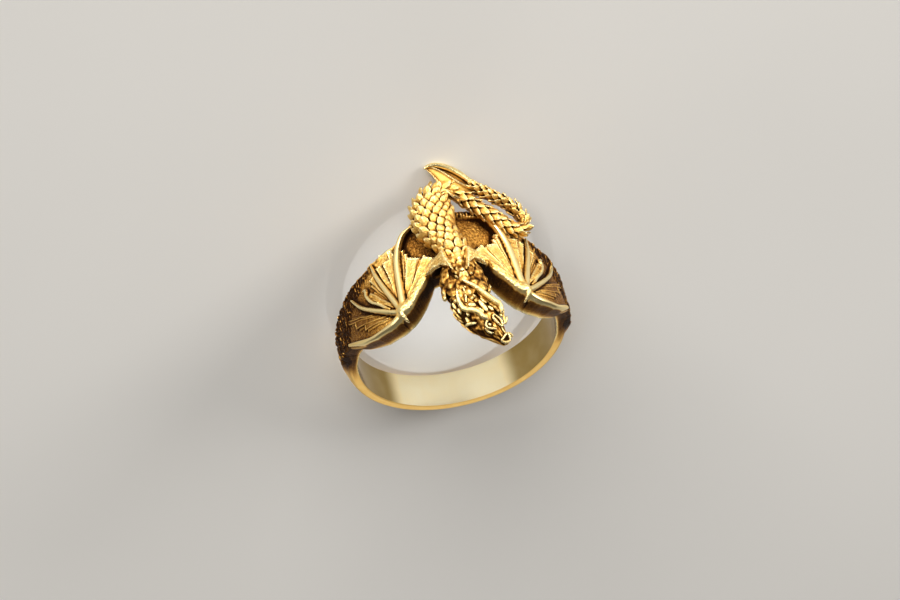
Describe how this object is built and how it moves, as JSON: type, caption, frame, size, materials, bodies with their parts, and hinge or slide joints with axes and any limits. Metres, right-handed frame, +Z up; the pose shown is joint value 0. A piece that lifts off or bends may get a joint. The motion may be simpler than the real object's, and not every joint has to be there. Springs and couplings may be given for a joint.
{
  "type": "dragon ring",
  "caption": "Cast gold-coloured finger ring with a winged dragon across its top, whose head and tail overhang the band.",
  "frame": {"origin": "centre of the finger hole, in the middle of the shank", "axes": "+Z up from the surface that the ring lies on, the dragon towards -Y with its head up, the plain shank towards +Y; +Y is the longest extent and +Z the shortest. The finger's axis leans from +Z towards +Y, because the dragon's tail holds that side up."},
  "size_m": [0.022, 0.0264, 0.0173],
  "materials": {
    "gold": "polished, with dark patina in the recesses"
  },
  "bodies": {
    "root": {"dragon_ring": "gold"}
  },
  "joints": []
}
